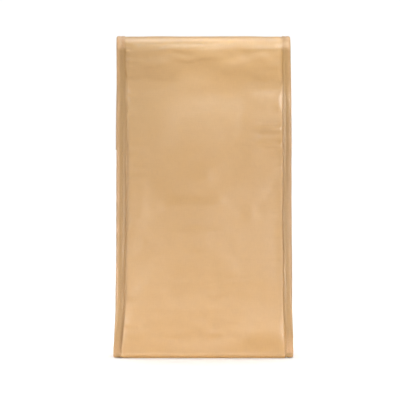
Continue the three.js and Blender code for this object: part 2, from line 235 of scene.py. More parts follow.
# rows from the base up to the mouth, shared by front, back and gussets
Z_ROWS = span(RC, ZF_END, 1.75)
A_ROWS = np.linspace(0, math.pi, 41)[1:]
P_ROWS = np.concatenate([span(0, -(FLAP - HEM - 6), 2.6)[1:], span(-(FLAP - HEM - 6), -(FLAP - HEM - 1), 1)[1:], span(-(FLAP - HEM - 1), -FLAP, 2)[1:]])
ZB_ROWS = Z_ROWS + STACK * sT * smooth((Z_ROWS - 225) / 50)
ZB_ROWS[-1] = ZB_END
UP_FRONT = Path.join(front(Z_ROWS), roll(A_ROWS, R_OUT, ROLL, 1), flap(P_ROWS, R_OUT, FLAP_OUT, 1))
UP_BACK = Path.join(back(ZB_ROWS), roll(A_ROWS, R_IN, ROLL_IN, -1), flap(P_ROWS, R_IN, FLAP_IN, -1))
C_ANG = np.linspace(0, math.pi / 2, 9)[1:]
FLOOR = Path.join(corner(-1, C_ANG), base(span(-DEPTH + RC, DEPTH - RC, 4)[1:-1]), corner(1, C_ANG[::-1]))
STRIP = Path.join(UP_FRONT.take(np.arange(UP_FRONT.n)[::-1]), FLOOR, UP_BACK)
S_LEN = STRIP.length()
S_ZERO = S_LEN[UP_FRONT.n + FLOOR.n // 2]
HEM_END_F = flap([-(FLAP - HEM)], R_OUT, FLAP_OUT, 1)
HEM_END_B = flap([-(FLAP - HEM)], R_IN, FLAP_IN, -1)

# ------------------------------------------------------------------ folds and dents of the panels
# Each: x, z of the middle, half length, half width, angle, height outwards. "d" is a plain dent or swell, "c" a crease that
# stands proud on its upper side and falls back below, "s" a lip that swells out below its line and eases back, "t" a tuck that
# swells out slowly down to its line and falls back there.
FEATURES = []


def feature(kind, x, z, half_long, half_wide, angle, height):
    FEATURES.append((kind, x, z, half_long, half_wide, math.radians(angle), height))


# under the roll
feature("t", -7, 305.6, 17, 1.6, 5.5, 1.0)
feature("c", -27, 315.5, 11, 2.6, -4, 0.25)
feature("c", 0, 319.8, 11, 2.8, 2, 0.16)
feature("c", -64, 318, 15, 4, 0, -0.15)
feature("c", 21, 322.5, 8, 2.4, -6, 0.15)
feature("c", -20, 309.5, 12, 2.2, -4, -0.15)
feature("t", -52, 299.6, 12, 1.7, 9, 0.9)
feature("c", -58, 287.5, 19, 8.5, 5, 1.2)
feature("c", -62, 294, 24, 14, 4, 1.3)
feature("t", -46, 283, 6, 2.2, 12, 0.95)
feature("c", -50, 312.5, 13, 3.6, 3, 0.15)
feature("c", -20, 313.5, 8, 2.6, -6, 0.18)
feature("c", 4, 287, 24, 7, 0, -0.4)
feature("s", 48, 311.3, 35, 5.2, -2, 1.8)
feature("c", 33, 304.5, 13, 6, 12, -1.0)
feature("c", 60, 287.5, 12, 5.0, -8, 0.5)
feature("t", 61, 283.0, 6, 1.8, -10, 0.95)
feature("c", 67, 271.5, 15, 8, -5, -1.15)
feature("c", 14, 296, 20, 5, 4, -0.2)
feature("d", -28, 270, 24, 16, 10, 0.8)
feature("d", 26, 262, 22, 20, -20, -0.4)
# middle of the panel
feature("d", -20, 235, 30, 22, 10, 0.7)
feature("c", 68, 237.5, 8, 2.2, -6, -0.6)
feature("c", 65, 231, 9, 2.6, -2, 0.75)
feature("c", 67, 221.5, 10, 2.8, -10, -0.9)
feature("c", 70, 215.5, 6, 2.0, -8, 0.4)
feature("t", -34, 152, 7, 3, 20, 0.6)
feature("d", -3, 167, 10, 4, -8, -0.7)
feature("t", 17, 154, 7, 3, 10, 0.5)
feature("d", 48, 144, 5, 5, 0, 0.6)
feature("d", -30, 196, 34, 26, -12, -0.8)
feature("d", 44, 190, 26, 30, 8, -0.6)
# lower part
feature("c", 7, 75.3, 9, 1.6, 5, -0.16)
feature("c", 36, 80.3, 13, 1.7, 10, -0.14)
feature("d", 6, 71.5, 6, 1.6, 5, -0.12)
feature("d", -28, 61, 4, 3, 60, -0.3)
feature("d", 20, 63, 3.5, 4, 80, -0.3)
feature("d", 35, 63, 4, 4, 70, -0.3)
feature("d", 8, 123, 3, 4, 80, -0.25)
feature("s", -68, 121, 9, 6, 0, 0.8)
feature("s", -56, 84, 13, 11, 12, 1.3)
feature("s", -70, 33, 8, 13, 0, 1.3)
feature("s", 64, 46, 16, 24, -6, 1.5)
feature("t", -10, 98, 28, 16, 0, 1.1)

SEAM_PUCKERS = {  # z, half width, height; reaching in from the seam
    -1: [(311, 3.2, 0.9), (303, 1.6, 0.8), (286, 2.6, 1.5), (269, 2.4, 1.2), (251, 3.2, 1.2), (214, 3, 0.8), (183, 2.6, 0.8),
         (158, 3, 0.5), (121, 3.2, 0.5), (92, 2.6, 0.5), (61, 3, 0.4), (33, 2.4, 0.4)],
    1: [(309, 2.4, 0.5), (297, 2.4, 0.6), (281, 2.6, 0.7), (254, 3.6, 0.7), (238, 2.2, -0.45), (231, 2.4, 0.6), (221.5, 2.6, -0.7),
        (215.5, 2.0, 0.5), (193, 3, 0.5), (176, 2.2, 0.6), (150, 2.6, 0.5), (124, 2.6, 0.5), (101, 2, 0.5), (72, 2.8, 0.4), (40, 2.6, 0.4)],
}


def front_relief(x, z):
    h = np.zeros(np.broadcast(x, z).shape)
    # cloth gives unevenly, so no fold runs quite straight
    x, z = (x + 2.4 * noise(N_MID, x / 17 + 61, z / 17 + 12) + 0.8 * noise(N_FINE, x / 6 + 4, z / 6 + 70),
            z + 1.5 * noise(N_BIG, x / 15 + 23, z / 19 + 47) + 0.6 * noise(N_FINE, x / 6 + 33, z / 6 + 9))
    for kind, fx, fz, hl, hw, ang, a in FEATURES:
        dx, dz = x - fx, z - fz
        u = dx * math.cos(ang) + dz * math.sin(ang)
        v = -dx * math.sin(ang) + dz * math.cos(ang)
        across = np.exp(-0.5 * (v / hw) ** 2)
        if kind == "d":
            h += a * np.exp(-0.5 * (u / hl) ** 2) * across
        elif kind == "c":
            h += a * (v / hw) * 1.65 * np.exp(-0.5 * (u / hl) ** 4) * across
        else:
            v = v if kind == "s" else -v
            h += a * smooth((hw - v) / (2 * hw)) * (1 - smooth((-v - hw) / (6 * hw))) * np.exp(-0.5 * (u / hl) ** 4)
    return h


def puckers(x, z, which):
    h = np.zeros(np.broadcast(x, z).shape)
    for side, rows in which.items():
        away = np.clip(SEAM - side * x, 0, None)
        reach = np.exp(-away / 9.0) * smooth(away / 3.0)
        for pz, w, a in rows:
            v = (z - pz) / w
            h += a * v * 1.65 * np.exp(-0.5 * v * v) * reach
    return h


BACK_FEATURES = np.random.default_rng(5)
BACK_LIST = [(BACK_FEATURES.uniform(-70, 70), BACK_FEATURES.uniform(20, 205), BACK_FEATURES.uniform(5, 24), BACK_FEATURES.uniform(2.5, 9),
              BACK_FEATURES.uniform(-0.6, 0.6), BACK_FEATURES.uniform(-0.7, 0.7)) for _ in range(46)]
FLAP_LIST = [(BACK_FEATURES.uniform(-72, 72), BACK_FEATURES.uniform(-95, -4), BACK_FEATURES.uniform(6, 26), BACK_FEATURES.uniform(2.5, 8),
              BACK_FEATURES.uniform(-0.5, 0.5), BACK_FEATURES.uniform(-0.55, 0.55)) for _ in range(30)]
REAR_PUCKERS = {s: [(float(p), float(w), float(a)) for p, w, a in zip(
    np.cumsum(BACK_FEATURES.uniform(9, 26, 20)) + 4, BACK_FEATURES.uniform(1.8, 3.4, 20), BACK_FEATURES.uniform(0.15, 0.5, 20))] for s in (-1, 1)}
FLAP_PUCKERS = {s: [(float(-p), float(w), float(a)) for p, w, a in zip(
    np.cumsum(BACK_FEATURES.uniform(7, 22, 9)) + 2, BACK_FEATURES.uniform(1.6, 3, 9), BACK_FEATURES.uniform(0.15, 0.45, 9))] for s in (-1, 1)}


def listed(items, x, z):
    h = np.zeros(np.broadcast(x, z).shape)
    for k, (fx, fz, hl, hw, ang, a) in enumerate(items):
        dx, dz = x - fx, z - fz
        u = dx * math.cos(ang) + dz * math.sin(ang)
        v = -dx * math.sin(ang) + dz * math.cos(ang)
        env = np.exp(-0.5 * (u / hl) ** 2 - 0.5 * (v / hw) ** 2)
        h += a * env if k % 2 else a * 1.4 * (v / hw) * env
    return h


def arc_position(P):
    """Length along the strip from the middle of the base, for stations of any order."""
    s = np.zeros(P.n)
    tent_f = P.part == FRONT
    s[tent_f] = -(DEPTH + P.z[tent_f])
    m = P.part == ROLL
    s[m] = -(DEPTH + ZF_END + R_OUT * P.c[m])
    m = P.part == FLAP_OUT
    s[m] = -(DEPTH + ZF_END + R_OUT * math.pi - P.c[m])
    m = P.part == BASE
    s[m] = P.y[m]
    m = P.part == BACK
    s[m] = DEPTH + P.z[m]
    m = P.part == ROLL_IN
    s[m] = DEPTH + ZB_END + R_IN * P.c[m]
    m = P.part == FLAP_IN
    s[m] = DEPTH + ZB_END + R_IN * math.pi - P.c[m]
    return s


def relief(P, x):
    """Outward displacement of the panel, millimetres: stations down, x across."""
    X = x * np.ones((P.n, 1))
    part, c = P.part[:, None], P.c[:, None] * np.ones_like(X)
    s = arc_position(P)[:, None] * np.ones_like(X)
    cloth = (0.55 * noise(N_BIG, X / 62 + 9, s / 62 + 31) + 0.26 * noise(N_MID, X / 25 + 5, s / 25 + 40)
             + 0.07 * noise(N_FINE, X / 8 + 3, s / 8 + 50))
    crumple = (0.42 * (np.abs(noise(N_MID, X / 34 + 2.3, s / 29 + 8.1)) - 0.35) - 0.2 * (np.abs(noise(N_BIG, X / 15 + 40.2, s / 13 + 22.7)) - 0.35))
    cloth = cloth + crumple
    inside = 1 - smooth((np.abs(X) - 73) / 8)
    turn = turn_at(X, P)
    proud = 1 - smooth((np.abs(X) - turn) / (SEAM - turn))
    h = np.zeros_like(X)
    m = part == FRONT
    closed = smooth((c - 262) / 18)
    hf = cloth * mix(1.7, 0.8, smooth((c - 225) / 45)) * smooth((c - 6) / 16) * inside + front_relief(X, c) * (1 - smooth((np.abs(X) - 76) / 6)) * smooth((c - 3) / 34)
    hf = hf + puckers(X, c, SEAM_PUCKERS)
    rim = smooth((np.abs(X) - 46) / 30)
    low, lift, end = mix(0.85, 0.3, rim), mix(1.1, 0.5, rim), mix(-0.4, -0.7, rim)
    hf = mix(hf, 0.15 * np.logaddexp(0, (hf + low) / 0.15) - low, closed) + mix(PROUD, lift, closed) * proud
    h = np.where(m, hf, h)
    m = part == ROLL
    fade = 1 - smooth(c / 1.2)
    hr = (cloth * mix(0.8, 0.3, smooth(c / 1.3)) + 0.35 * noise(N_MID, X / 21 + 31, c * 1.6 + 12) * smooth(c / 0.6) * mix(1.0, 0.4, smooth(c / 1.3)) + front_relief(X, ZF_END + R_OUT * np.minimum(c, 1.2)) * fade) * inside + mix(lift, end, smooth(c / 1.4)) * proud
    h = np.where(m, hr, h)
    m = part == FLAP_OUT
    hp = (cloth * 0.6 + mix(end, 0.35, smooth(-c / 25)) * proud + listed(FLAP_LIST, X, c) * smooth(-c / 10)) * inside * (1 - 0.8 * P.hem[:, None]) + puckers(X, c, FLAP_PUCKERS) * (1 - P.hem[:, None])
    h = np.where(m, hp, h)
    m = part == BASE
    bend = np.clip(c, 0.02, math.pi / 2)
    h = np.where(m, PROUD * np.cos(bend) ** 2 * proud * (P.z[:, None] > 1e-6), h)
    m = part == BACK
    hb = (cloth * 0.9 + listed(BACK_LIST, X, c)) * inside * smooth((c - 6) / 16) + puckers(X, c, REAR_PUCKERS) + PROUD * proud
    hb = hb * (1 - smooth((c - 185) / 22))
    h = np.where(m, hb, h)
    return h


PROUD = 0.3  # how far a panel stands out from the groove along its seam
# extra width of the left and right edges by height
EDGE_L = [(0, 0.2), (10, 0.4), (30, 0.1), (60, 0.3), (110, -0.3), (200, -0.2), (330, -0.2)]
EDGE_R = [(0, -0.3), (10, 0.1), (25, 0.6), (60, 1.0), (110, 0.9), (150, 0.6), (190, 0.7), (215, 0.85), (240, 1.0), (262, 0.85), (285, 0.55), (300, 0.25), (330, -0.4)]


def turn_at(x, P):
    """Where a panel starts to fall into the groove along its seam: a rounder shoulder at mid height on the left, crisp elsewhere."""
    seen = (P.part == FRONT) | (P.part == ROLL)
    left = np.where(seen, mix(mix(79.6, 78.6, smooth((P.z - 95) / 70)), 79.9, smooth((P.z - 205) / 30)), 79.0)
    right = np.where(seen, mix(mix(78.9, 80.3, smooth((P.z - 15) / 40)), 80.9, smooth((P.z - 130) / 40) * (1 - smooth((P.z - 235) / 25))), 79.2)
    return np.where(x < 0, left[:, None], right[:, None])


def base_fold(P):
    """How far the fold at the foot stands out of a plain round, so that it lies crisply on the floor."""
    bend = np.clip(P.c, 0.02, math.pi / 2)
    room = 0.80 * RC * (1 - np.sin(bend)) / np.sin(bend)
    return np.where((P.part == BASE) & (P.z > 1e-6), np.minimum(1.8 * np.sin(2 * bend) ** 2, room), 0.0)[:, None]


def place(P, x, q, bumps=True):
    """Points of the strip: x across (columns, or stations by columns), q inwards from the outer face; stations by columns by 3."""
    x = np.asarray(x, float)
    if x.ndim < 2:
        x = np.atleast_1d(x)[None, :]
    q = np.asarray(q, float)
    if q.ndim == 1 and len(q) == P.n:
        q = q[:, None]
    a = np.abs(x)
    s = arc_position(P)[:, None]
    side = np.sign(x)
    out = np.clip(a - SEAM, 0, None)
    wave = 0.35 * noise(N_EDGE, s / 17 + 7, side * 3 + 11) + 0.2 * noise(N_EDGE, s / 6 + 19, side * 3 + 29)
    turn = turn_at(x, P)
    u = np.minimum(1, a / SEAM)
    # the right seam and the upper left one lie nearer the panel's level, and the left one draws in at mid height
    top_end = 1 - smooth((P.z - 235) / 30)
    level_l = np.where(P.part == FRONT, 1 - 0.6 * smooth((P.z - 150) / 60) * top_end, 1.0)[:, None]
    level_r = np.where(P.part == FRONT, 1 - 0.5 * smooth((P.z - 15) / 40) * top_end, 1.0)[:, None]
    dip = P.dip[:, None] * np.where(side > 0, level_r, level_l)
    draw = np.where(P.part == FRONT, 1.4 * smooth((P.z - 100) / 45) * (1 - smooth((P.z - 275) / 35)), 0.0)[:, None]
    draw = draw * (side < 0) * smooth((a - 58) / (SEAM - 58)) * np.clip(1 - out / FLANGE, 0, 1)
    d = q - base_fold(P) + dip * np.clip((a - turn) / (SEAM - turn), 0, 1) + (P.tilt[:, None] + 0.02 * wave) * out - P.crown[:, None] * (1 - u * u)
    if bumps:
        d = d - relief(P, x)
    flare = smooth(1 - P.z / FLARE_TOP)[:, None]
    X = side * (np.minimum(a, SEAM) * (1 + BASE_FLARE * flare) + out * (1 - 0.2 * flare) + 0.25 * wave * np.clip(out / FLANGE, 0, 1))
    zz = P.z[:, None] * np.ones_like(X)
    edge = np.where(side < 0, np.interp(zz, *zip(*EDGE_L)), np.interp(zz, *zip(*EDGE_R)))
    X = X + side * edge * smooth((a - 40) / (SEAM - 40)) + draw + P.skew[:, None]
    d = d * np.ones_like(X)
    return np.stack([X, P.y[:, None] + P.ny[:, None] * d, P.z[:, None] + P.nz[:, None] * d], -1)


# ------------------------------------------------------------------ meshes
def new_mesh(name, verts, quads, tris=None, layers=None, material=None, smooth_angle=40):
    """A mesh object from millimetre vertices; layers are per-vertex attributes."""
    me = bpy.data.meshes.new(name)
    nq, nt = len(quads), 0 if tris is None else len(tris)
    me.vertices.add(len(verts))
    me.vertices.foreach_set("co", (np.asarray(verts, np.float64) * 0.001).ravel().astype(np.float32))
    loops = np.asarray(quads, np.int64).ravel()
    start = np.arange(nq) * 4
    if nt:
        start = np.concatenate([start, nq * 4 + np.arange(nt) * 3])
        loops = np.concatenate([loops, np.asarray(tris, np.int64).ravel()])
    me.loops.add(len(loops))
    me.loops.foreach_set("vertex_index", loops.astype(np.int32))
    me.polygons.add(nq + nt)
    me.polygons.foreach_set("loop_start", start.astype(np.int32))
    me.update(calc_edges=True)
    me.validate()
    for key, (kind, data) in (layers or {}).items():
        at = me.attributes.new(key, kind, "POINT")
        at.data.foreach_set("vector" if kind == "FLOAT_VECTOR" else "value", np.asarray(data, np.float32).ravel())
    me.polygons.foreach_set("use_smooth", np.ones(len(me.polygons), bool))
    me.set_sharp_from_angle(angle=math.radians(smooth_angle))
    ob = bpy.data.objects.new(name, me)
    bpy.context.scene.collection.objects.link(ob)
    if material:
        me.materials.append(material)
    return ob


def signed_volume(v, quads):
    a, b, c, d = (v[quads[:, k]] for k in range(4))
    return (np.einsum("ij,ij->i", a, np.cross(b, c)) + np.einsum("ij,ij->i", a, np.cross(c, d))).sum()


def sheet_grid(name, outer, inner, flat, material, wear_and_highlight=None, painted_shade=None, smooth_angle=40):
    """A closed thin sheet from two grids of points; flat gives each point's place on the uncut cloth, in metres."""
    n, m = outer.shape[:2]
    verts = np.concatenate([outer.reshape(-1, 3), inner.reshape(-1, 3)])
    k = n * m
    i, j = np.meshgrid(np.arange(n - 1), np.arange(m - 1), indexing="ij")
    a = (i * m + j).ravel()
    face = np.stack([a, a + 1, a + m + 1, a + m], 1)
    quads = [face, face[:, ::-1] + k]
    r = np.arange(n - 1) * m
    quads.append(np.stack([r, r + m, r + m + k, r + k], 1))
    r = r + m - 1
    quads.append(np.stack([r, r + k, r + m + k, r + m], 1))
    c = np.arange(m - 1)
    quads.append(np.stack([c, c + k, c + 1 + k, c + 1], 1))
    c = c + (n - 1) * m
    quads.append(np.stack([c, c + 1, c + 1 + k, c + k], 1))
    quads = np.concatenate(quads)
    if signed_volume(verts, quads) < 0:
        quads = quads[:, ::-1]
    f = np.concatenate([flat.reshape(-1, 3), flat.reshape(-1, 3) + [0, 0, 0.01]])
    layers = {"flat": ("FLOAT_VECTOR", f)}
    w = np.zeros((n, m)) if wear_and_highlight is None else wear_and_highlight
    layers["wear_and_highlight"] = ("FLOAT", np.concatenate([w.ravel(), w.ravel()]))
    if painted_shade is not None:
        layers["painted_shade"] = ("FLOAT", np.concatenate([painted_shade.ravel(), painted_shade.ravel()]))
    return new_mesh(name, verts, quads, layers=layers, material=material, smooth_angle=smooth_angle)


def flat_coords(rows, cols):
    rows, cols = np.asarray(rows, float), np.asarray(cols, float)
    if rows.ndim == 1:
        rows = rows[:, None] * np.ones((1, cols.shape[-1]))
    if cols.ndim == 1:
        cols = cols[None, :] * np.ones((rows.shape[0], 1))
    return np.stack([cols * 0.001, rows * 0.001, np.zeros_like(rows)], -1)


# ------------------------------------------------------------------ materials
def nodes_for(name):
    mat = bpy.data.materials.new(name)
    mat.use_nodes = True
    nt = mat.node_tree
    bsdf = nt.nodes["Principled BSDF"]
    return mat, nt, bsdf


def add(nt, kind, **props):
    n = nt.nodes.new(kind)
    for k, v in props.items():
        setattr(n, k, v)
    return n


def math_node(nt, op, a, b=None, c=None):
    n = add(nt, "ShaderNodeMath", operation=op)
    for i, v in enumerate((a, b, c)):
        if v is None:
            continue
        if isinstance(v, (int, float)):
            n.inputs[i].default_value = v
        else:
            nt.links.new(v, n.inputs[i])
    return n.outputs[0]


def noise_node(nt, vector, scale, detail=3.0, rough=0.55, stretch=None):
    if stretch is not None:
        mp = add(nt, "ShaderNodeMapping")
        mp.inputs["Scale"].default_value = stretch
        nt.links.new(vector, mp.inputs["Vector"])
        vector = mp.outputs["Vector"]
    n = add(nt, "ShaderNodeTexNoise")
    n.inputs["Scale"].default_value = scale
    n.inputs["Detail"].default_value = detail
    n.inputs["Roughness"].default_value = rough
    nt.links.new(vector, n.inputs["Vector"])
    return n.outputs["Fac"]


def ramp(nt, fac, stops):
    r = add(nt, "ShaderNodeValToRGB")
    el = r.color_ramp.elements
    while len(el) < len(stops):
        el.new(0.5)
    for e, (pos, col) in zip(el, stops):
        e.position, e.color = pos, (*col, 1.0)
    nt.links.new(fac, r.inputs["Fac"])
    return r.outputs["Color"]


def mix_rgb(nt, kind, fac, a, b):
    n = add(nt, "ShaderNodeMix", data_type="RGBA", blend_type=kind)
    ins = [s for s in n.inputs if s.enabled]
    for sock, v in zip((n.inputs["Factor"], ins[1], ins[2]), (fac, a, b)):
        if isinstance(v, (int, float)):
            sock.default_value = v
        elif isinstance(v, tuple):
            sock.default_value = (*v, 1.0)
        else:
            nt.links.new(v, sock)
    return [s for s in n.outputs if s.enabled][0]


def woven_paper(name, base, pitch, weave_depth, edge_pale, contrast=1.0, sheen=0.04, gloss=1.0, ior=1.5):
    """Twisted kraft-paper yarn in a plain weave: over and under yarns, slubs, fibre streaks, blotches, paler edges
    (partly wear, partly painted highlight) and painted shade along the seams.
    """
    mat, nt, bsdf = nodes_for(name)
    flat = add(nt, "ShaderNodeAttribute", attribute_name="flat")
    wear_and_highlight = add(nt, "ShaderNodeAttribute", attribute_name="wear_and_highlight")
    painted_shade = add(nt, "ShaderNodeAttribute", attribute_name="painted_shade")
    vec = flat.outputs["Vector"]
    sep = add(nt, "ShaderNodeSeparateXYZ")
    nt.links.new(vec, sep.inputs[0])
    u = math_node(nt, "DIVIDE", sep.outputs["X"], pitch)
    v = math_node(nt, "DIVIDE", sep.outputs["Y"], pitch)
    # yarns lie side by side: a half round across each, dipping where the other set passes over
    cu = math_node(nt, "ABSOLUTE", math_node(nt, "SINE", math_node(nt, "MULTIPLY", u, math.pi)))
    cv = math_node(nt, "ABSOLUTE", math_node(nt, "SINE", math_node(nt, "MULTIPLY", v, math.pi)))
    parity = math_node(nt, "MODULO", math_node(nt, "ABSOLUTE", math_node(nt, "ADD", math_node(nt, "FLOOR", u), math_node(nt, "FLOOR", v))), 2.0)
    over = math_node(nt, "MULTIPLY", cu, math_node(nt, "ADD", math_node(nt, "MULTIPLY", cv, 0.55), 0.45))
    under = math_node(nt, "MULTIPLY", cv, math_node(nt, "ADD", math_node(nt, "MULTIPLY", cu, 0.55), 0.45))
    weave = math_node(nt, "ADD", math_node(nt, "MULTIPLY", over, parity), math_node(nt, "MULTIPLY", under, math_node(nt, "SUBTRACT", 1.0, parity)))
    streak_u = noise_node(nt, vec, 60, 2, 0.5, (1 / pitch / 60, 2.2, 1))
    streak_v = noise_node(nt, vec, 60, 2, 0.5, (2.2, 1 / pitch / 60, 1))
    blotch = noise_node(nt, vec, 26, 4, 0.6)
    fibre = noise_node(nt, vec, 1500, 3, 0.6)
    light = tuple(min(1, c * k) for c, k in zip(base, (1.07, 1.08, 1.10)))
    dark = tuple(c * k for c, k in zip(base, (0.91, 0.90, 0.87)))
    tone = math_node(nt, "ADD", math_node(nt, "MULTIPLY", streak_u, 0.30), math_node(nt, "MULTIPLY", streak_v, 0.30))
    tone = math_node(nt, "ADD", tone, math_node(nt, "MULTIPLY", blotch, 0.25))
    tone = math_node(nt, "ADD", tone, math_node(nt, "MULTIPLY", fibre, 0.15))
    lo, hi = 0.5 - 0.22 / contrast, 0.5 + 0.22 / contrast
    col = ramp(nt, tone, [(max(0, lo), dark), (0.5, base), (min(1, hi), light)])
    gap = ramp(nt, weave, [(0.0, (0.80, 0.77, 0.72)), (0.55, (1.0, 1.0, 1.0))])
    col = mix_rgb(nt, "MULTIPLY", 0.5, col, gap)
    # paler where the mask is set: partly wear, partly painted highlight
    pale_amount = math_node(nt, "MULTIPLY", wear_and_highlight.outputs["Fac"], math_node(nt, "ADD", math_node(nt, "MULTIPLY", fibre, 0.7), 0.4))
    col = mix_rgb(nt, "MIX", pale_amount, col, edge_pale)
    # painted shade: darkens the colour where the mask marks shade along the seams; the same mask also makes the surface
    # rougher
    col = mix_rgb(nt, "MULTIPLY", painted_shade.outputs["Fac"], col, (0.62, 0.57, 0.50))
    nt.links.new(col, bsdf.inputs["Base Color"])
    rough = math_node(nt, "ADD", math_node(nt, "MULTIPLY", fibre, 0.14), 0.31)
    rough = math_node(nt, "ADD", rough, math_node(nt, "MULTIPLY", painted_shade.outputs["Fac"], 0.5))
    nt.links.new(rough, bsdf.inputs["Roughness"])
    bsdf.inputs["Specular IOR Level"].default_value = gloss
    bsdf.inputs["IOR"].default_value = ior
    bsdf.inputs["Sheen Weight"].default_value = sheen
    bsdf.inputs["Sheen Roughness"].default_value = 0.5
    b1 = add(nt, "ShaderNodeBump")
    b1.inputs["Strength"].default_value = 0.3
    b1.inputs["Distance"].default_value = weave_depth
    nt.links.new(weave, b1.inputs["Height"])
    b2 = add(nt, "ShaderNodeBump")
    b2.inputs["Strength"].default_value = 0.15
    b2.inputs["Distance"].default_value = 0.0002
    nt.links.new(math_node(nt, "ADD", streak_u, math_node(nt, "ADD", streak_v, math_node(nt, "MULTIPLY", fibre, 0.5))), b2.inputs["Height"])
    nt.links.new(b1.outputs["Normal"], b2.inputs["Normal"])
    nt.links.new(b2.outputs["Normal"], bsdf.inputs["Normal"])
    return mat


KRAFT = (0.403, 0.209, 0.044)
PALE = (0.50, 0.285, 0.135)
M_PAPER = woven_paper("woven_kraft", KRAFT, 0.00105, 0.00016, PALE, ior=1.62)
M_BIND = woven_paper("binding_kraft", (0.346, 0.192, 0.060), 0.00095, 0.00014, PALE, 1.2, gloss=0.75)


def foil_material():
    mat, nt, bsdf = nodes_for("foil_on_foam")
    flat = add(nt, "ShaderNodeAttribute", attribute_name="flat")
    vec = flat.outputs["Vector"]
    crumple = noise_node(nt, vec, 160, 4, 0.6)
    dust = noise_node(nt, vec, 900, 2, 0.5)
    col = ramp(nt, crumple, [(0.3, (0.60, 0.61, 0.63)), (0.7, (0.78, 0.79, 0.80))])
    nt.links.new(col, bsdf.inputs["Base Color"])
    bsdf.inputs["Metallic"].default_value = 0.92
    nt.links.new(math_node(nt, "ADD", math_node(nt, "MULTIPLY", dust, 0.2), 0.22), bsdf.inputs["Roughness"])
    b = add(nt, "ShaderNodeBump")
    b.inputs["Strength"].default_value = 0.5
    b.inputs["Distance"].default_value = 0.0008
    nt.links.new(crumple, b.inputs["Height"])
    nt.links.new(b.outputs["Normal"], bsdf.inputs["Normal"])
    return mat


def tape_material(name, base, scale, depth, rough):
    mat, nt, bsdf = nodes_for(name)
    co = add(nt, "ShaderNodeTexCoord").outputs["Object"]
    vor = add(nt, "ShaderNodeTexVoronoi")
    vor.inputs["Scale"].default_value = scale
    nt.links.new(co, vor.inputs["Vector"])
    fuzz = noise_node(nt, co, scale * 1.7, 3, 0.6)
    col = ramp(nt, fuzz, [(0.3, tuple(c * 0.78 for c in base)), (0.7, tuple(c * 1.15 for c in base))])
    nt.links.new(col, bsdf.inputs["Base Color"])
    nt.links.new(math_node(nt, "ADD", math_node(nt, "MULTIPLY", fuzz, 0.15), rough), bsdf.inputs["Roughness"])
    b = add(nt, "ShaderNodeBump")
    b.inputs["Strength"].default_value = 0.8
    b.inputs["Distance"].default_value = depth
    nt.links.new(vor.outputs["Distance"], b.inputs["Height"])
    nt.links.new(b.outputs["Normal"], bsdf.inputs["Normal"])
    return mat


def thread_material():
    mat, nt, bsdf = nodes_for("sewing_thread")
    co = add(nt, "ShaderNodeTexCoord").outputs["Object"]
    ply = noise_node(nt, co, 2600, 2, 0.5)
    col = ramp(nt, ply, [(0.35, (0.29, 0.162, 0.052)), (0.65, (0.40, 0.234, 0.085))])
    nt.links.new(col, bsdf.inputs["Base Color"])
    nt.links.new(math_node(nt, "ADD", math_node(nt, "MULTIPLY", ply, 0.2), 0.5), bsdf.inputs["Roughness"])
    bsdf.inputs["Sheen Weight"].default_value = 0.05
    b = add(nt, "ShaderNodeBump")
    b.inputs["Strength"].default_value = 0.4
    b.inputs["Distance"].default_value = 0.0001
    nt.links.new(ply, b.inputs["Height"])
    nt.links.new(b.outputs["Normal"], bsdf.inputs["Normal"])
    return mat


M_FOIL = foil_material()
M_HOOK = tape_material("hook_tape_nylon", (0.27, 0.165, 0.085), 1400, 0.0005, 0.42)
M_LOOP = tape_material("loop_tape_nylon", (0.31, 0.19, 0.10), 700, 0.0006, 0.8)
M_THREAD = thread_material()

# ------------------------------------------------------------------ body wrap
half = np.concatenate([np.arange(0, 58, 3.6), np.linspace(59, 75, 8), np.linspace(76, SEAM, 11), SEAM + FLANGE * np.array([0.12, 0.3, 0.5, 0.7, 0.88, 1.0])])
BODY_X = np.concatenate([-half[:0:-1], half])


def hem_rows(P_end, P_back):
    """Rows of a turned hem, from its free edge to the fold: each a station, its two depths and how far past the mouth."""
    rows = [(P_back, (2 * FOLD_MID, PAPER + LAY), (0, 0))]
    for t in np.linspace(math.pi, 0, 7)[:-1]:
        c, s = math.cos(t), math.sin(t)
        rows.append((P_end, (FOLD_MID - FOLD_MID * c, FOLD_MID - (LAY / 2) * c), (FOLD_MID * s, (LAY / 2) * s)))
    return rows


def hem_points(rows, X, extra=0.0):
    grids = []
    for face in (0, 1):
        lines = []
        for P, q, ext in rows:
            g = place(P, X, q[face])[0]
            g[:, 1] -= UP[0] * ext[face]
            g[:, 2] -= UP[1] * ext[face]
            lines.append(g)
        grids.append(np.stack(lines))
    return grids


h_front = hem_rows(UP_FRONT.take([-1]), HEM_END_F)
h_back = hem_rows(UP_BACK.take([-1]), HEM_END_B)[::-1]
gf, gb = hem_points(h_front, BODY_X), hem_points(h_back, BODY_X)
outer = np.concatenate([gf[0], place(STRIP, BODY_X, 0.0), gb[0]])
inner = np.concatenate([gf[1], place(STRIP, BODY_X, PAPER), gb[1]])
rows_mm = np.concatenate([-HEM - 1 + np.linspace(0, HEM, len(h_front)), S_LEN, S_LEN[-1] + np.linspace(1, HEM + 1, len(h_back))])
# painted shade: the colour along the left seam is darkened where the groove's shadow falls, most of all near the foot
SEAM_SHADE_L = [(0, 0.0), (4, 0.6), (20, 1.0), (40, 0.6), (55, 0.5), (72, 0.6), (92, 0.45), (135, 0.42), (175, 0.5), (217, 0.55), (240, 0.15), (255, 0.0)]
seam_shade_at = mix(80.7, 79.7, smooth((STRIP.z - 40) / 20))[:, None]
seam_shade_half = mix(1.0, 1.4, smooth((STRIP.z - 40) / 20))[:, None]
painted_shade = np.zeros(outer.shape[:2])
painted_shade[len(h_front):len(h_front) + STRIP.n] = (np.where(STRIP.part == FRONT, np.interp(STRIP.z, *zip(*SEAM_SHADE_L)), 0.0)[:, None]
                                               * np.exp(-((-BODY_X[None, :] - seam_shade_at) / seam_shade_half) ** 2))
body = sheet_grid("body_wrap_cloth", outer, inner, flat_coords(rows_mm, BODY_X), M_PAPER, painted_shade=painted_shade)
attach(body, "root")
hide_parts("body_wrap")

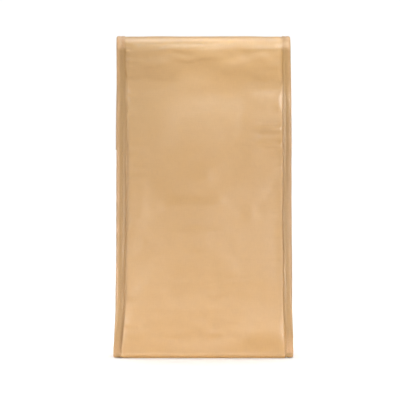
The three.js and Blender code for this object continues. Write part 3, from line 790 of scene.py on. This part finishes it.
# ------------------------------------------------------------------ body lining
inside_rows = np.where(STRIP.hem < 0.98)[0]
inside_rows = np.concatenate([inside_rows[inside_rows < UP_FRONT.n], inside_rows[(inside_rows >= UP_FRONT.n) & (inside_rows < UP_FRONT.n + FLOOR.n)], inside_rows[inside_rows >= UP_FRONT.n + FLOOR.n][::2]])
LIN = STRIP.take(inside_rows)
lin_u = np.linspace(-1, 1, 49)


def lining_face(q):
    wide = mix(LINING_OPEN, LINING_HALF, smooth((LIN.z - 108) / 70))
    x = wide[:, None] * lin_u
    # the foam follows the paper's folds loosely
    slack = 0.35 * (smooth((LIN.z - 20) / 20) * (1 - smooth((LIN.z - 235) / 25)))[:, None] * (1 - smooth((np.abs(x) - 66) / 6))
    return place(LIN, x, q + slack)


lin_outer, lin_inner = lining_face(PAPER + BOND), lining_face(WALL)
lining = sheet_grid("body_lining_foil", lin_outer, lin_inner, flat_coords(LIN.length(), lin_u * LINING_HALF), M_FOIL)
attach(lining, "root")
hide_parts("body_lining")
float(LIN.length()[-1]) * 0.001

# ------------------------------------------------------------------ gussets
UPF, UPB = UP_FRONT, UP_BACK
N01, N12, N23 = 7, 20, 6


def seam_point(P, s):
    return place(P, [s * SEAM], G_OUT + HEM_STEP * P.hem, bumps=False)[:, 0]


def crease_depth(S):
    return np.sqrt(np.clip(GUSSET_HALF ** 2 - (S / 2) ** 2, 0, None))


def gusset_section(F, B, s):
    A, Bp = seam_point(F, s), seam_point(B, s)
    E = Bp - A
    S = np.linalg.norm(E, axis=1)
    E = E / S[:, None]
    z = np.where(F.part == FRONT, F.z, HEIGHT)
    closed = 1 - smooth((S - 6) / 30)
    apex_S = float(np.interp(APEX, Z_ROWS, np.linalg.norm(seam_point(front(Z_ROWS), s) - seam_point(back(ZB_ROWS), s), axis=1)))
    low = z < APEX
    depth = np.where(low, crease_depth(apex_S) * z / APEX, crease_depth(S))
    soft = mix(1.0, LAY, closed)
    halfw = np.where(low, np.maximum(soft, SLANT_START * (1 - z / APEX)), soft)
    nose = np.where(low, np.minimum(soft * 0.5, halfw) * smooth((z - 30) / 32), halfw)
    if F.n > 8:
        depth = np.where(closed > 0.98, depth, mix(depth, soften(depth, 4), 1 - closed))
    ce = S / 2 - halfw
    length = np.hypot(depth, ce)
    near = 5 / length
    need = np.minimum(2.8, ce)
    lack = np.clip(1 - near * ce / 2.8, 0, 1)
    x2, e2 = mix(near * depth, 12, lack), np.maximum(near * ce, need)
    t01, t12, t23 = np.linspace(0, 1, N01 + 1)[:-1], np.linspace(0, 1, N12 + 1)[:-1], np.linspace(0, 1, N23 + 1)
    xs = np.concatenate([x2[:, None] * t01, mix(x2[:, None], depth[:, None], t12), depth[:, None] + nose[:, None] * np.sin(t23 * math.pi / 2)], 1)
    es = np.concatenate([e2[:, None] * t01, mix(e2[:, None], ce[:, None], t12), ce[:, None] + halfw[:, None] * np.where(low[:, None], t23, 1 - np.cos(t23 * math.pi / 2))], 1)
    xs = np.concatenate([xs, xs[:, -2::-1]], 1)
    es = np.concatenate([es, (S[:, None] - es)[:, -2::-1]], 1)
    for _ in range(5):
        for arr in (xs, es):
            sm = arr.copy()
            sm[:, 1:-1] = 0.25 * arr[:, :-2] + 0.5 * arr[:, 1:-1] + 0.25 * arr[:, 2:]
            arr[:] = mix(sm, arr, closed[:, None] * 0.0)
    return dict(A=A, E=E, S=S, xs=xs, es=es, closed=closed, z=z, s=s)


def gusset_points(sec, t, ends=True, cols=slice(None), bumps=True):
    xs, es = sec["xs"], sec["es"]
    dx, de = np.diff(xs, axis=1), np.diff(es, axis=1)
    l = np.hypot(dx, de)
    dx, de = dx / l, de / l
    one = np.ones((len(xs), 1))
    ax, ae = np.concatenate([one, dx], 1), np.concatenate([0 * one, de], 1)
    bx, be = np.concatenate([dx, -one], 1), np.concatenate([de, 0 * one], 1)
    n1, n2 = np.stack([ae, -ax], -1), np.stack([be, -bx], -1)
    k = 1 / np.maximum(0.35, 1 + (n1 * n2).sum(-1))
    nrm = (n1 + n2) * k[..., None]
    m = xs.shape[1]
    j = np.linspace(0, 1, m)[None, :]
    row = np.where(sec["z"] < HEIGHT, sec["z"], 300)[:, None]
    sway = 0.0
    if bumps:
        amp = (1 - sec["closed"][:, None]) * smooth(j / 0.12) * smooth((1 - j) / 0.12) * smooth((row - 4) / 18)
        sway = amp * (1.5 * noise(N_GUS, j * 3.1 + 7 + sec["s"], row / 52 + 3) + 0.7 * noise(N_GUS, j * 7 + 17, row / 21 + 13 + 5 * sec["s"])
                      + 0.22 * noise(N_FINE, j * 19 + 4, row / 8 + 29))
    d = t + sway
    px, pe = xs + nrm[..., 0] * d, es + nrm[..., 1] * d
    X = np.array([-sec["s"], 0.0, 0.0])
    g = sec["A"][:, None, :] + X * px[..., None] + sec["E"][:, None, :] * pe[..., None]
    return g[:, cols]


FL = np.array([1.0, 0.75, 0.5, 0.25])


def gusset_grid(s, face, thick):
    t = thick
    sec = gusset_section(UPF, UPB, s)
    body_pts = gusset_points(sec, t)

    def flange(P, b, depth_in):
        return place(P, s * (SEAM + FLANGE * np.asarray(b)), G_OUT + HEM_STEP * P.hem[:, None] - depth_in, bumps=False)

    wall = np.concatenate([flange(UPF, FL, t), body_pts, flange(UPB, FL[::-1], t)], 1)
    # the seam along the base, and its flange
    e = sec["es"][0] / sec["S"][0]
    y = -(DEPTH - RC) + e * 2 * (DEPTH - RC)
    m = len(e)
    rows = []
    for a in np.concatenate([FL, [0.0]]):
        line = []
        for side, bs in ((-1, FL), (1, FL[::-1])):
            pts = []
            for b in bs:
                ang = math.pi / 2 * a / (a + b)
                pts.append(place(corner(side, [ang]), [s * (SEAM + FLANGE * max(a, b))], G_OUT - t, bumps=False)[0, 0])
            line.append(np.stack(pts))
        xin = s * (SEAM + FLANGE * a - (t if a == 0 else 0))
        mid = place(base(y[1:-1]), [xin], G_OUT - t, bumps=False)[:, 0]
        cf = place(corner(-1, [math.pi / 4 if a == 0 else math.pi / 2]), [xin], G_OUT - t, bumps=False)[0]
        cb = place(corner(1, [math.pi / 4 if a == 0 else math.pi / 2]), [xin], G_OUT - t, bumps=False)[0]
        rows.append(np.concatenate([line[0], cf, mid, cb, line[1]]))
    floor = np.stack(rows)
    return floor, wall, sec


def gusset_hem(s, depths, exts, F, B):
    out = []
    for (t, ext) in zip(depths, exts):
        sec = gusset_section(F, B, s)
        g = np.concatenate([
            place(F, s * (SEAM + FLANGE * FL), G_OUT + HEM_STEP * F.hem[:, None] - t, bumps=False),
            gusset_points(sec, t),
            place(B, s * (SEAM + FLANGE * FL[::-1]), G_OUT + HEM_STEP * B.hem[:, None] - t, bumps=False)], 1)[0]
        g[:, 1] -= UP[0] * ext
        g[:, 2] -= UP[1] * ext
        out.append(g)
    return out


for s, side in ((-1, "left"), (1, "right")):
    grids = []
    for face, thick in ((0, 0.0), (1, PAPER)):
        floor, wall, sec = gusset_grid(s, face, thick)
        rows = []
        for t in np.linspace(0, math.pi, 7)[1:]:
            c, sn = math.cos(t), math.sin(t)
            q = FOLD_MID - FOLD_MID * c if face == 0 else FOLD_MID - (LAY / 2) * c
            ext = FOLD_MID * sn if face == 0 else (LAY / 2) * sn
            rows += gusset_hem(s, [q], [ext], UPF.take([-1]), UPB.take([-1]))
        rows += gusset_hem(s, [2 * FOLD_MID if face == 0 else PAPER + LAY], [0], HEM_END_F, HEM_END_B)
        grids.append(np.concatenate([floor, wall, np.stack(rows)]))
    m = grids[0].shape[1]
    arc = np.concatenate([-FLANGE * np.concatenate([FL, [0.0]]), UPF.length() + 5, UPF.length()[-1] + 6 + np.linspace(0, HEM, 7)])
    across = np.concatenate([np.zeros((len(arc), 1)), np.cumsum(np.linalg.norm(np.diff(grids[0], axis=1), axis=2), axis=1)], 1)
    across -= across[:, [m // 2]]
    g = sheet_grid(f"{side}_gusset_cloth", grids[0], grids[1], flat_coords(arc, across), M_PAPER)
    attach(g, "root")
    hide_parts(f"{side}_gusset")
    # foil-faced foam on its inner face
    cut = np.where((UPF.hem < 0.98))[0][::2]
    secl = gusset_section(UPF, UPB, s)
    a = gusset_points(secl, PAPER + BOND, cols=slice(N01, -N01))[cut]
    b = gusset_points(secl, WALL, cols=slice(N01, -N01))[cut]
    lin = sheet_grid(f"{side}_gusset_foil", a, b, flat_coords(UPF.length()[cut], np.linspace(-50, 50, a.shape[1])), M_FOIL)
    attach(lin, "root")
    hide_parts(f"{side}_lining")
    float(UPF.length()[cut][-1]) * 0.001

# ------------------------------------------------------------------ seam bindings
IN_X, GAP_X = SEAM + 0.5, SEAM + FLANGE + LAY
O0, O1, I0, I1 = -LAY - BIND, -LAY, G_OUT + LAY, G_OUT + LAY + BIND
STITCH_AT = 3.0
r_in = (I0 - O1) / 2
fold_x = GAP_X - r_in + 0.1
LEG = np.concatenate([np.linspace(IN_X, SEAM + 2.0, 4), np.linspace(SEAM + 2.4, SEAM + 3.6, 4), np.linspace(SEAM + 4.2, fold_x, 6)])
ARC = np.linspace(-math.pi / 2, math.pi / 2, 13)[1:-1]
TICKS = {-1: [(255.0, 0.3), (188.0, 0.3), (118.0, 0.25), (61.0, 0.25)], 1: [(246.7, 0.35), (232.8, 0.35), (189.5, -0.3), (183.3, 0.3), (154.0, 0.4), (19.0, -0.4)]}


def leg_lift(x, side, s, z):
    """How far the binding stands off the flat at x: pressed in along the stitches, full towards the rim."""
    along = noise(N_EDGE, s / 13 + 3, side * 5 + 20 + 0 * s)
    fine = noise(N_EDGE, s / 5 + 31, side * 5 + 40 + 0 * s)
    u = x - SEAM
    deep = 0.14 if side < 0 else 0.33
    g = -deep * (0.75 + 0.35 * fine) * np.exp(-((u - STITCH_AT) / 0.9) ** 2)
    r = (0.6 if side < 0 else 0.42) * (1 + 0.4 * along) * np.exp(-((u - 6.5) / 1.6) ** 2)
    tick = sum(a * np.exp(-((z - z0) / 0.9) ** 2) for z0, a in TICKS[side]) * np.exp(-((u - 3) / 2.2) ** 2)
    pressed = smooth((np.abs(s) - DEPTH) / 8)  # flat where the bag stands on it
    return (g + r) * pressed + tick


def binding_faces(s):
    side = s
    arc = arc_position(STRIP)
    zz = np.where(STRIP.part == FRONT, STRIP.z, -99.0)
    outer_cols, inner_cols, wear_and_highlight_cols = [], [], []
    edge = 0.3 * noise(N_EDGE, arc / 8 + 51, side * 4 + 9 + 0 * arc)
    step = HEM_STEP * STRIP.hem
    # the binding is painted paler along its rim, partly wear and partly painted highlight; a little paler at its inner
    # edge; and paler at the foot, a painted highlight against the shade there
    rim = np.where(STRIP.part == FRONT, smooth((STRIP.z - 20) / 60), 0.7) * (0.75 + 0.35 * noise(N_EDGE, arc / 11 + 61, side * 4 + 15 + 0 * arc)) * (1.0 if s < 0 else 0.4)
    foot = np.where(STRIP.part == FRONT, 1 - smooth((STRIP.z - 4) / 26), 0.0) * (0.35 if s < 0 else 1.0)
    foot = foot + np.where(STRIP.part == ROLL, (1.0 if s < 0 else 0.35) * smooth(STRIP.c / 0.4), 0.0)  # painted highlight: paler where it bends over the roll

    def place_one(x, q):
        return place(STRIP, (s * x * np.ones(STRIP.n))[:, None], q, bumps=False)[:, 0]

    for x in LEG:
        share = np.clip((SEAM + 3 - x) / 2.5, 0, 1)
        lift = leg_lift(x, side, arc, zz)
        outer_cols.append(place_one(x + edge * share, O0 - lift))
        inner_cols.append(place_one(x + edge * share, O1 + 0 * lift))
        wear_and_highlight_cols.append(rim * smooth((x - SEAM - 4.9) / 1.5) * 0.85 + (0.12 if x == LEG[0] else 0) + foot)
    end = O0 - leg_lift(fold_x, side, arc, zz)
    mid, r = (end + I1 + step) / 2, (I1 + step - end) / 2
    mid_i, r_i = (O1 + I0 + step) / 2, (I0 + step - O1) / 2
    for a in ARC:
        outer_cols.append(place_one(fold_x + 1.18 * math.cos(a), mid + r * math.sin(a)))
        inner_cols.append(place_one(fold_x + 0.72 * math.cos(a), mid_i + r_i * math.sin(a)))
        wear_and_highlight_cols.append(rim * (0.85 if a < 0.3 else 0.6))
    for x in LEG[::-1]:
        lift = 0.6 * leg_lift(x, side, arc + 400, zz * 0 - 99)
        outer_cols.append(place_one(x, I1 + step + np.clip(lift, -0.2, None)))
        inner_cols.append(place_one(x, I0 + step))
        wear_and_highlight_cols.append(rim * smooth((x - SEAM - 4.9) / 1.5) * 0.6)
    return np.stack(outer_cols, 1), np.stack(inner_cols, 1), np.stack(wear_and_highlight_cols, 1)


for s, side in ((-1, "left"), (1, "right")):
    a, b, wear_and_highlight = binding_faces(s)
    wide = np.concatenate([[0], np.cumsum(np.linalg.norm(np.diff(a, axis=1), axis=2).mean(0))])
    painted_shade_tint = np.zeros(a.shape[:2])
    # painted shade on the bindings: on the left, darker along the inner edge near the foot and in a patch near 82 mm,
    # where the groove's shadow falls
    if s < 0:
        low_end = np.where(STRIP.part == FRONT, (1 - smooth((STRIP.z - 25) / 25)) * smooth(STRIP.z / 6), 0.0)
        painted_shade_tint[:, :len(LEG)] = low_end[:, None] * np.clip(1 - (LEG - IN_X)[None, :] / 1.2, 0, 1) * 0.7
        spot = np.where(STRIP.part == FRONT, np.exp(-((STRIP.z - 82) / 18) ** 2), 0.0)
        painted_shade_tint[:, :len(LEG)] += 0.35 * spot[:, None] * np.exp(-((LEG - SEAM - 1.8) / 1.3) ** 2)[None, :]
    else:  # painted shade: darker at mid height on the right
        spot = np.where(STRIP.part == FRONT, smooth((STRIP.z - 158) / 25) * (1 - smooth((STRIP.z - 232) / 25)), 0.0)
        painted_shade_tint[:, :len(LEG)] = 0.3 * spot[:, None] * np.exp(-((LEG - SEAM - 4.4) / 2.2) ** 2)[None, :]
    bd = sheet_grid(f"{side}_binding_strip", a, b, flat_coords(S_LEN, wide), M_BIND, wear_and_highlight=wear_and_highlight, painted_shade=painted_shade_tint, smooth_angle=50)
    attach(bd, "root")
    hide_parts(f"{side}_seam_binding")


# ------------------------------------------------------------------ sewing
def stitches(name, runs, pitch=3.3, long=2.5, radius=0.23):
    """Rows of lockstitches: each a short thread that rises from one needle hole and dips into the next."""
    verts, quads, tris = [], [], []
    rings, around = 6, 6
    for pts, nrm in runs:
        seg = np.linalg.norm(np.diff(pts, axis=0), axis=1)
        L = np.concatenate([[0], np.cumsum(seg)])
        count = int((L[-1] - 4) / pitch)
        for k in range(count):
            c = 2 + pitch * (k + 0.5)
            t = np.linspace(-0.5, 0.5, rings)
            q = c + t * long
            p = np.stack([np.interp(q, L, pts[:, i]) for i in range(3)], 1)
            n = np.stack([np.interp(q, L, nrm[:, i]) for i in range(3)], 1)
            n /= np.linalg.norm(n, axis=1)[:, None]
            d = np.gradient(p, axis=0)
            d /= np.linalg.norm(d, axis=1)[:, None]
            b = np.cross(d, n)
            rise = 0.14 - 0.40 * (2 * np.abs(t)) ** 3
            p = p + n * rise[:, None]
            r = radius * (1 - 0.45 * (2 * np.abs(t)) ** 4)
            base_i = len(verts)
            for i in range(rings):
                for j in range(around):
                    a = 2 * math.pi * j / around
                    verts.append(p[i] + r[i] * (math.cos(a) * n[i] * 0.85 + math.sin(a) * b[i]))
            for i in range(rings - 1):
                for j in range(around):
                    j2 = (j + 1) % around
                    quads.append((base_i + i * around + j, base_i + i * around + j2, base_i + (i + 1) * around + j2, base_i + (i + 1) * around + j))
            for i, flip in ((0, True), (rings - 1, False)):
                ring = [base_i + i * around + j for j in range(around)]
                for j in range(1, around - 1):
                    tri = (ring[0], ring[j], ring[j + 1])
                    tris.append(tri[::-1] if flip else tri)
    ob = new_mesh(name, np.array(verts), np.array(quads), tris=np.array(tris), material=M_THREAD, smooth_angle=70)
    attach(ob, "root")
    return ob


def binding_run(s, x, outer_leg):
    arc = arc_position(STRIP)
    lift = leg_lift(x, s, arc, np.where(STRIP.part == FRONT, STRIP.z, -99.0))
    q = O0 - lift if outer_leg else I1 + HEM_STEP * STRIP.hem + np.clip(0.6 * leg_lift(x, s, arc + 400, -99 + 0 * arc), -0.2, None)
    a = place(STRIP, [s * x], q[:, None], bumps=False)[:, 0]
    n = np.stack([np.zeros(STRIP.n), STRIP.ny, STRIP.nz], 1) * (-1 if outer_leg else 1)
    return a, n


for s, side in ((-1, "left"), (1, "right")):
    stitches(f"{side}_binding_stitches", [binding_run(s, SEAM + STITCH_AT, True), binding_run(s, SEAM + STITCH_AT, False)])
hx = np.linspace(-SEAM + 1, SEAM - 1, 90)
hem_st = flap([-(FLAP - HEM + 2.5)], R_OUT, FLAP_OUT, 1)
hem_pts = place(hem_st, hx, 0.0)[0]
hem_n = np.tile([0.0, cT, sT], (len(hx), 1))
stitches("mouth_hem_stitches", [(hem_pts, hem_n)])

# ------------------------------------------------------------------ closure tapes keep their solid shape
for o in bpy.data.objects:
    if o.type == "MESH" and o.name in ("hook_tape", "loop_tape"):
        o.data.materials.clear()
        o.data.materials.append(M_HOOK if o.name == "hook_tape" else M_LOOP)

# ------------------------------------------------------------------ stage, light and camera
scene = bpy.context.scene


def floor_material():
    mat, nt, bsdf = nodes_for("pale_floor")
    co = add(nt, "ShaderNodeTexCoord").outputs["Object"]
    n = noise_node(nt, co, 3, 2, 0.5)
    col = ramp(nt, n, [(0.3, (0.94, 0.94, 0.94)), (0.7, (0.95, 0.95, 0.95))])
    nt.links.new(col, bsdf.inputs["Base Color"])
    bsdf.inputs["Roughness"].default_value = 0.8
    bsdf.inputs["Specular IOR Level"].default_value = 0.1
    return mat


fl = bpy.data.meshes.new("floor")
fl.from_pydata([(-60, -60, -0.0002), (60, -60, -0.0002), (60, 60, -0.0002), (-60, 60, -0.0002)], [], [(0, 1, 2, 3)])
floor_ob = bpy.data.objects.new("floor", fl)
scene.collection.objects.link(floor_ob)
fl.materials.append(floor_material())

world = bpy.data.worlds.new("studio")
scene.world = world
world.use_nodes = True
world.node_tree.nodes["Background"].inputs["Color"].default_value = (1.0, 1.0, 1.0, 1.0)
world.node_tree.nodes["Background"].inputs["Strength"].default_value = 0.74


def area(name, loc, aim, size, power, size_y=None, spread=180, color=(1, 1, 1)):
    li = bpy.data.lights.new(name, "AREA")
    li.shape = "RECTANGLE"
    li.size, li.size_y = size, size_y or size
    li.energy = power
    li.color = color
    li.spread = math.radians(spread)
    ob = bpy.data.objects.new(name, li)
    ob.location = loc
    d = np.array(aim, float) - np.array(loc, float)
    ob.rotation_euler = Vector(d).to_track_quat("-Z", "Y").to_euler()
    scene.collection.objects.link(ob)
    return ob


def sun(name, azimuth, elevation, strength, angle):
    """A very soft distant lamp: azimuth from the front towards the right, elevation above the floor, in degrees."""
    li = bpy.data.lights.new(name, "SUN")
    li.energy = strength
    li.angle = math.radians(angle)
    ob = bpy.data.objects.new(name, li)
    az, el = math.radians(azimuth), math.radians(elevation)
    ob.rotation_euler = Vector((-math.sin(az) * math.cos(el), math.cos(az) * math.cos(el), -math.sin(el))).to_track_quat("-Z", "Y").to_euler()
    scene.collection.objects.link(ob)
    return ob


sun("overhead_soft", 3, 99, 1.15, 34)
area("front_softbox", (0.15, -2.6, 0.62), (0, 0, 0.10), 2.0, 3.2, 1.1)
area("front_high", (0.9, -2.4, 0.9), (0, 0, 0.2), 0.9, 2.0)
area("roll_strip", (0.21, -0.56, 1.16), (0.026, 0.0, 0.365), 0.5, 0.046, 0.14, 10, (0.76, 0.97, 1.0))
area("roll_right", (0.35, -0.95, 0.82), (0.085, 0.0, 0.345), 0.25, 0.024, 0.12, 9, (0.85, 1.0, 1.0))
area("lip_right", (0.36, -0.85, 0.97), (0.105, -0.01, 0.342), 0.25, 0.012, 0.08, 6)
area("upper_right", (0.75, -1.0, 0.95), (0.085, -0.02, 0.29), 0.2, 0.040, 0.25, 9)
area("upper_left", (-0.85, -1.0, 0.75), (-0.09, -0.02, 0.245), 0.2, 0.010, 0.25, 8)
area("mid_left", (-1.1, -1.6, 0.75), (-0.03, -0.03, 0.205), 0.4, 0.050, 0.25, 14)
area("mid_right", (1.1, -1.6, 0.75), (0.04, -0.03, 0.23), 0.4, 0.059, 0.25, 14)
area("low_front", (-0.1, -1.6, 0.30), (-0.02, -0.05, -0.01), 0.6, 0.018, 0.2, 11)
area("low_left", (-1.55, -1.15, 0.30), (-0.01, -0.05, 0.01), 0.4, 0.108, 0.2, 12)
area("low_left_near", (-0.8, -1.65, 0.25), (-0.05, -0.05, -0.03), 0.4, 0.049, 0.15, 9)
area("low_right", (1.2, -1.5, 0.30), (0.02, -0.05, 0.01), 0.4, 0.106, 0.2, 12)
area("rear_left", (-1.7, 1.9, 0.6), (0, 0.05, 0.15), 0.8, 3.6, 0.6)
area("rear_right", (1.7, 1.9, 0.6), (0, 0.05, 0.15), 0.8, 3.2, 0.6)
area("side_left", (-0.7, 0.10, 0.5), (-0.135, 0.04, 0.0), 0.16, 0.030, 0.10, 7)
area("side_right", (0.7, 0.10, 0.5), (0.135, 0.04, 0.0), 0.16, 0.030, 0.10, 7)

MM_PER_PX = 1.0318
DIST = 3.2
ELEV = math.radians(4.5)
AIM = np.array([-0.0036, -0.035, 0.1618])
cam = bpy.data.cameras.new("camera")
cam.sensor_width = 36.0
cam.sensor_fit = "HORIZONTAL"
cam.lens = 36.0 * DIST / (0.4 * MM_PER_PX)
cam.clip_end = 150
cam_ob = bpy.data.objects.new("camera", cam)
cam_ob.location = (AIM[0], AIM[1] - DIST * math.cos(ELEV), AIM[2] + DIST * math.sin(ELEV))
cam_ob.rotation_euler = (math.pi / 2 - ELEV, 0, 0)
scene.collection.objects.link(cam_ob)
scene.camera = cam_ob
scene.view_settings.view_transform = "Standard"
scene.view_settings.look = "None"
scene.view_settings.exposure = 0.0
scene.view_settings.gamma = 1.0
